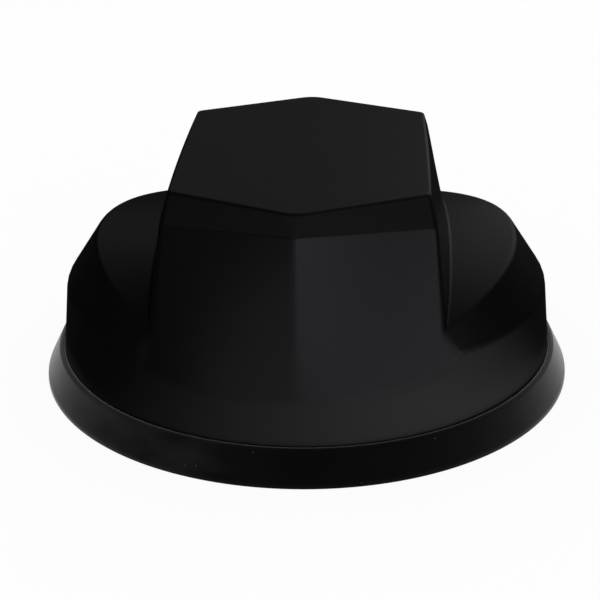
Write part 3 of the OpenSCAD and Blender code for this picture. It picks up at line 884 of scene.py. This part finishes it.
# Bare turned brass is yellow, and duller where fingers have touched it.
finishes["bare_brass"] = grained_finish(
    "turned_brass", dark="#ab8540", light="#c9a75f",
    rough=(0.2, 0.36), grain_mm=0.5, bump_mm=0.002, Metallic=1.0)
# Tinplate comes off the rolls with fine lines in one direction.
finishes["shield_tinplate"] = grained_finish(
    "rolled_tinplate", dark="#b3b3af", light="#cacac6",
    rough=(0.24, 0.4), grain_mm=0.4, bump_mm=0.003, stretch=(0.1, 2.0, 1.0), Metallic=1.0)
# Silver paste fired on ceramic is white and slightly rough.
finishes["electrode_silver"] = grained_finish(
    "fired_silver_paste", dark="#c6c6c2", light="#d8d8d4",
    rough=(0.36, 0.52), grain_mm=0.2, bump_mm=0.004, Metallic=1.0)
print("finishes so far:", len(finishes))

# %% [markdown]
# ## Zinc plating
# The washer and the nut are plated with zinc, which grows in bluish crystals that catch the light
# one by one. Noise would blur the crystals together, so a Voronoi pattern gives each one its own
# tone and gloss. Real ones are finer on plated parts. They are drawn coarser here, so that they show.

# %% Zinc plating on the washer and nut
SPANGLE_MM = 2.5
SCRATCH_MM = 0.3
SCRATCH_DEPTH_MM = 0.003
SCRATCH_DETAIL = 4.0
ZINC_ROUGH = (0.26, 0.4)

zinc, tree, shader, place = new_finish("zinc_plated_steel")
crystals = add_node(tree, "ShaderNodeTexVoronoi", {"Vector": place, "Scale": per_metre(SPANGLE_MM)})
crystal = add_node(tree, "ShaderNodeSeparateColor", {"Color": crystals.outputs["Color"]})
tone = add_node(tree, "ShaderNodeMix", {
    MIX_SHARE: crystal.outputs["Red"], MIX_FROM: linear("#a3a9af"), MIX_TO: linear("#bdc3c8")},
    data_type="RGBA")
gloss = add_node(tree, "ShaderNodeMapRange", {
    "Value": crystal.outputs["Green"], "To Min": ZINC_ROUGH[0], "To Max": ZINC_ROUGH[1]})
scratches = add_node(tree, "ShaderNodeTexNoise", {
    "Vector": place, "Scale": per_metre(SCRATCH_MM), "Detail": SCRATCH_DETAIL})
bump = add_node(tree, "ShaderNodeBump", {
    "Height": scratches.outputs["Fac"], "Distance": SCRATCH_DEPTH_MM * MM, "Strength": 1.0})
tree.links.new(tone.outputs[MIX_RESULT], shader.inputs["Base Color"])
tree.links.new(gloss.outputs["Result"], shader.inputs["Roughness"])
tree.links.new(bump.outputs["Normal"], shader.inputs["Normal"])
shader.inputs["Metallic"].default_value = 1.0
finishes["zinc_steel"] = zinc
print("made", zinc.name)

# %% Plastics, rubber and ceramics
# Moulded nitrile is softer black than the skirt and a little greasy.
finishes["seal_rubber"] = grained_finish(
    "moulded_nitrile_rubber", dark="#131314", light="#1c1c1d",
    rough=(0.5, 0.64), grain_mm=0.4, bump_mm=0.003, IOR=1.52)
# Moulded polypropylene has a waxy skin.
finishes["vent_plastic"] = grained_finish(
    "moulded_polypropylene_black", dark="#19191a", light="#232324",
    rough=(0.4, 0.5), grain_mm=0.4, bump_mm=0.002, IOR=1.49)
# Chip bodies are pressed from filled epoxy, which leaves them dull and dark grey.
finishes["chip_epoxy"] = grained_finish(
    "pressed_epoxy", dark="#141416", light="#1e1e21",
    rough=(0.5, 0.62), grain_mm=0.15, bump_mm=0.002, IOR=1.55)
# Sintered ferrite is charcoal grey and gritty.
finishes["ferrite_black"] = grained_finish(
    "sintered_ferrite", dark="#2a2a2d", light="#3a3a3d",
    rough=(0.55, 0.7), grain_mm=0.3, bump_mm=0.005, IOR=1.8)
# Natural nylon is ivory and lets a little light in, so its tones stay close together.
finishes["header_nylon"] = grained_finish(
    "moulded_nylon_natural", dark="#d6ceb6", light="#e0d9c4",
    rough=(0.38, 0.48), grain_mm=0.5, bump_mm=0.002, IOR=1.53)
# Pale ABS has a fine even texture from the mould.
finishes["bracket_plastic"] = grained_finish(
    "moulded_abs_pale", dark="#bfbeb7", light="#cbcac4",
    rough=(0.42, 0.52), grain_mm=0.35, bump_mm=0.003, IOR=1.54)
# Ground dielectric ceramic is tan and chalky, with small darker grains.
finishes["patch_ceramic"] = grained_finish(
    "ground_dielectric_ceramic", dark="#ae936a", light="#c5ad86",
    rough=(0.5, 0.66), grain_mm=0.25, bump_mm=0.004, IOR=1.9)
# The extruded jacket of the thin coaxial lead is grey-brown and smooth.
finishes["coax_jacket"] = grained_finish(
    "extruded_fep_jacket", dark="#6a6660", light="#7b7771",
    rough=(0.24, 0.34), grain_mm=0.6, bump_mm=0.001, IOR=1.34)
print("finishes so far:", len(finishes))

# %% [markdown]
# ## Circuit boards
# The boards are glass-epoxy laminate with copper tracks under a green solder mask. Tracks stand only
# a few hundredths of a millimetre proud, so they aren't modelled. A wave pattern draws them as paler,
# slightly raised lines, and the cells of a Voronoi pattern keep them to some fields of the board, as
# groups of tracks are routed.

# %% Green boards with copper tracks under the mask
TRACK_PITCH_MM = 1.2
TRACK_HEIGHT_MM = 0.03
TRACK_FROM = 0.6
GROUP_MM = 9.0
BARE_FIELDS = 0.45
MASK_ROUGH = (0.2, 0.3)
# Bands to the unit of length in a wave pattern of scale 1
WAVE_BANDS = 20 / (2 * math.pi)

board, tree, shader, place = new_finish("masked_glass_epoxy")
tracks = add_node(tree, "ShaderNodeTexWave", {
    "Vector": place, "Scale": per_metre(TRACK_PITCH_MM) / WAVE_BANDS, "Distortion": 0.0})
groups = add_node(tree, "ShaderNodeTexVoronoi", {
    "Vector": place, "Scale": per_metre(GROUP_MM)}, distance="CHEBYCHEV")
group = add_node(tree, "ShaderNodeSeparateColor", {"Color": groups.outputs["Color"]})
routed = add_node(tree, "ShaderNodeMath", {
    0: group.outputs["Red"], 1: BARE_FIELDS}, operation="GREATER_THAN")
line = add_node(tree, "ShaderNodeMath", {
    0: tracks.outputs["Fac"], 1: TRACK_FROM}, operation="GREATER_THAN")
copper = add_node(tree, "ShaderNodeMath", {
    0: routed.outputs[0], 1: line.outputs[0]}, operation="MULTIPLY")
mask = add_node(tree, "ShaderNodeMix", {
    MIX_SHARE: copper.outputs[0], MIX_FROM: linear("#0f4426"), MIX_TO: linear("#1c6a3c")},
    data_type="RGBA")
gloss = add_node(tree, "ShaderNodeMapRange", {
    "Value": groups.outputs["Distance"], "To Min": MASK_ROUGH[0], "To Max": MASK_ROUGH[1]})
raised = add_node(tree, "ShaderNodeBump", {
    "Height": copper.outputs[0], "Distance": TRACK_HEIGHT_MM * MM, "Strength": 1.0})
tree.links.new(mask.outputs[MIX_RESULT], shader.inputs["Base Color"])
tree.links.new(gloss.outputs["Result"], shader.inputs["Roughness"])
tree.links.new(raised.outputs["Normal"], shader.inputs["Normal"])
finishes["board_laminate"] = board
print("made", board.name)

# %% Give every CAD node its finish
slot_of = {row["node"]: row["material_slot"] for row in frame["record"]["subparts"]}
for name, node in frame["nodes"].items():
    if not node.material_slots:
        node.data.materials.append(finishes[slot_of[name]])
    for holder in node.material_slots:
        holder.material = finishes[slot_of[name]]
print("nodes with a finish:", len(slot_of))

# %% [markdown]
# ## Stage
# The floor is a pale ring round the receiver, open under the skirt as a roof is, so that the stud
# hangs free below it. A plain white floor would need more light than the black object can stand, so
# the camera sees floor and surroundings as white by themselves, and the lamps stay low. From below,
# the floor is clear. All sizes of the stage are in metres.

# %% Floor
FLOOR_HOLE = 0.0745
FLOOR_EDGE = 2.0
FLOOR_STEPS = 128


def flat_ring(name, hole, edge, height, steps):
    """A level ring: a circle of edges, extruded outwards, with its face upwards."""
    bpy.ops.object.select_all(action="DESELECT")
    bpy.ops.mesh.primitive_circle_add(vertices=steps, radius=hole, location=(0, 0, height))
    ring = bpy.context.object
    ring.name = name
    bpy.ops.object.transform_apply(location=True)
    bpy.ops.object.mode_set(mode="EDIT")
    bpy.ops.mesh.extrude_edges_move()
    bpy.ops.transform.resize(value=(edge / hole, edge / hole, 1))
    bpy.ops.mesh.select_all(action="SELECT")
    bpy.ops.mesh.normals_make_consistent(inside=False)
    bpy.ops.object.mode_set(mode="OBJECT")
    if ring.data.polygons[0].normal.z < 0:
        ring.data.flip_normals()
    return ring


floor = flat_ring("floor", FLOOR_HOLE, FLOOR_EDGE, 0, FLOOR_STEPS)
print("floor faces:", len(floor.data.polygons))

# %% White paint of the floor
FLOOR_WHITE = "#e6e6e6"
FLOOR_GLOW = 0.9

floor_paint = bpy.data.materials.new("matte_white_floor")
floor_paint.use_nodes = True
tree = floor_paint.node_tree
tree.nodes.clear()
light_path = add_node(tree, "ShaderNodeLightPath").outputs
facing = add_node(tree, "ShaderNodeNewGeometry").outputs["Backfacing"]
paint = add_node(tree, "ShaderNodeBsdfDiffuse", {"Color": linear(FLOOR_WHITE)})
glow = add_node(tree, "ShaderNodeEmission", {"Color": (1, 1, 1, 1), "Strength": 1.0})
in_view = add_node(tree, "ShaderNodeMath", {
    0: light_path["Is Camera Ray"], 1: light_path["Is Glossy Ray"]}, operation="MAXIMUM")
seen = add_node(tree, "ShaderNodeMath", {
    0: in_view.outputs[0], 1: light_path["Is Transmission Ray"]}, operation="MAXIMUM")
share = add_node(tree, "ShaderNodeMath", {0: seen.outputs[0], 1: FLOOR_GLOW}, operation="MULTIPLY")
white = add_node(tree, "ShaderNodeMixShader", {
    0: share.outputs[0], 1: paint.outputs[0], 2: glow.outputs[0]})
from_below = add_node(tree, "ShaderNodeMath", {
    0: light_path["Is Camera Ray"], 1: facing}, operation="MULTIPLY")
clear = add_node(tree, "ShaderNodeBsdfTransparent")
final = add_node(tree, "ShaderNodeMixShader", {
    0: from_below.outputs[0], 1: white.outputs[0], 2: clear.outputs[0]})
add_node(tree, "ShaderNodeOutputMaterial", {"Surface": final.outputs[0]})
floor.data.materials.append(floor_paint)
print("made", floor_paint.name)

# %% World
WORLD_LEVEL = 1.0
world = bpy.data.worlds.new("studio")
bpy.context.scene.world = world
world.use_nodes = True
world.node_tree.nodes["Background"].inputs["Color"].default_value = (1, 1, 1, 1)
world.node_tree.nodes["Background"].inputs["Strength"].default_value = WORLD_LEVEL
print("world level:", WORLD_LEVEL)

# %% [markdown]
# ## Dark cloth round the object
# A black object is shown by what it mirrors. In a white room its faces would all turn grey, so a
# photographer hangs black cloth round it. Here a black tent hides the white world from the
# reflections, and a black cloth hides the floor. Both are seen by reflections alone, so that camera
# and shadows keep the white room.

# %% Black tent
TENT_R = 1.8
TENT_SEGMENTS = 48
TENT_RINGS = 24
CLOTH_BLACK = "#202020"


def black_cloth(name):
    """A matte black finish with its node tree, its shader and the piece's own coordinates."""
    finish, tree, shader, place = new_finish(name)
    shader.inputs["Base Color"].default_value = linear(CLOTH_BLACK)
    shader.inputs["Roughness"].default_value = 1.0
    shader.inputs["Specular IOR Level"].default_value = 0.0
    return finish, tree, shader, place


def only_in_reflections(cloth, finish):
    cloth.data.materials.append(finish)
    cloth.visible_camera = False
    cloth.visible_diffuse = False
    cloth.visible_transmission = False
    cloth.visible_shadow = False


bpy.ops.object.select_all(action="DESELECT")
bpy.ops.mesh.primitive_uv_sphere_add(segments=TENT_SEGMENTS, ring_count=TENT_RINGS, radius=TENT_R)
tent = bpy.context.object
tent.name = "black_tent"
bpy.ops.object.mode_set(mode="EDIT")
bpy.ops.mesh.select_all(action="SELECT")
bpy.ops.mesh.bisect(plane_co=(0, 0, 0), plane_no=(0, 0, 1), clear_inner=True)
bpy.ops.object.mode_set(mode="OBJECT")
only_in_reflections(tent, black_cloth("black_tent_cloth")[0])
print("tent faces:", len(tent.data.polygons))

# %% A black table cloth that thins out towards the front right
CLOTH_HOLE = 0.0755
CLOTH_LIFT = 0.0003
CLOTH_STEPS = 180
# Azimuths in degrees between which the cloth thins out, and between which it closes again
OPENS = (-68, 35)
CLOSES = (35, 96)
OPEN_SHARE = 0.9


def turn_share(azimuth):
    """Value of the radial gradient at an azimuth, 0 in front and 90 to the right."""
    return azimuth / 360 + 0.25


cloth = flat_ring("black_table_cloth", CLOTH_HOLE, TENT_R, CLOTH_LIFT, CLOTH_STEPS)
finish, tree, shader, place = black_cloth("thinning_black_cloth")
radial = add_node(tree, "ShaderNodeTexGradient", {"Vector": place}, gradient_type="RADIAL")
opening = add_node(tree, "ShaderNodeMapRange", {
    "Value": radial.outputs["Fac"],
    "From Min": turn_share(OPENS[0]), "From Max": turn_share(OPENS[1]),
    "To Min": 0.0, "To Max": OPEN_SHARE}, interpolation_type="SMOOTHSTEP")
closing = add_node(tree, "ShaderNodeMapRange", {
    "Value": radial.outputs["Fac"],
    "From Min": turn_share(CLOSES[0]), "From Max": turn_share(CLOSES[1]),
    "To Min": 1.0, "To Max": 0.0}, interpolation_type="SMOOTHSTEP")
share = add_node(tree, "ShaderNodeMath", {
    0: opening.outputs["Result"], 1: closing.outputs["Result"]}, operation="MULTIPLY")
clear = add_node(tree, "ShaderNodeBsdfTransparent")
thin = add_node(tree, "ShaderNodeMixShader", {
    0: share.outputs[0], 1: shader.outputs[0], 2: clear.outputs[0]})
tree.links.new(thin.outputs[0], tree.nodes["Material Output"].inputs["Surface"])
only_in_reflections(cloth, finish)
print("cloth faces:", len(cloth.data.polygons))

# %% [markdown]
# ## Lamps
# The photograph has a wide cool light from the front right, a weaker one from the front left, light
# from above, and thin rims from behind. Point lamps would leave hard dots on the black plastic, so
# every lamp is a rectangle, like a softbox, and its reflection is a soft wide patch.

# %% Lamps
LAMP_AIM = Vector((0, 0, 0.03))
LAMP_DISTANCE = 1.0
COOL = (0.93, 0.89, 1.0)
NEUTRAL = (1.0, 1.0, 1.0)


def soft_lamp(name, colour, azimuth, elevation, width, height, strength):
    """A softbox on a circle round the receiver, azimuth 0 in front and 90 to the right."""
    a = math.radians(azimuth)
    e = math.radians(elevation)
    away = Vector((math.sin(a) * math.cos(e), -math.cos(a) * math.cos(e), math.sin(e)))
    bpy.ops.object.select_all(action="DESELECT")
    bpy.ops.object.light_add(type="AREA", location=LAMP_AIM + away * LAMP_DISTANCE)
    lamp = bpy.context.object
    lamp.name = name
    lamp.rotation_euler = (-away).to_track_quat("-Z", "Y").to_euler()
    lamp.data.shape = "RECTANGLE"
    lamp.data.size = width
    lamp.data.size_y = height
    lamp.data.energy = strength
    lamp.data.color = colour
    lamp.visible_camera = False
    print(name, strength, "watts")


soft_lamp("key_front_right", COOL, azimuth=37, elevation=13, width=1.5, height=0.4, strength=2.15)
soft_lamp("fill_front_left", COOL, azimuth=-25, elevation=14, width=0.6, height=0.4, strength=0.4)
soft_lamp("overhead", NEUTRAL, azimuth=4, elevation=68, width=1.8, height=0.5, strength=1.05)
soft_lamp("back_right", NEUTRAL, azimuth=150, elevation=35, width=0.6, height=0.5, strength=0.34)
soft_lamp("back_right_low", NEUTRAL, azimuth=153, elevation=11, width=0.7, height=0.2, strength=0.18)
soft_lamp("back_middle", NEUTRAL, azimuth=180, elevation=29, width=0.7, height=0.4, strength=0.13)
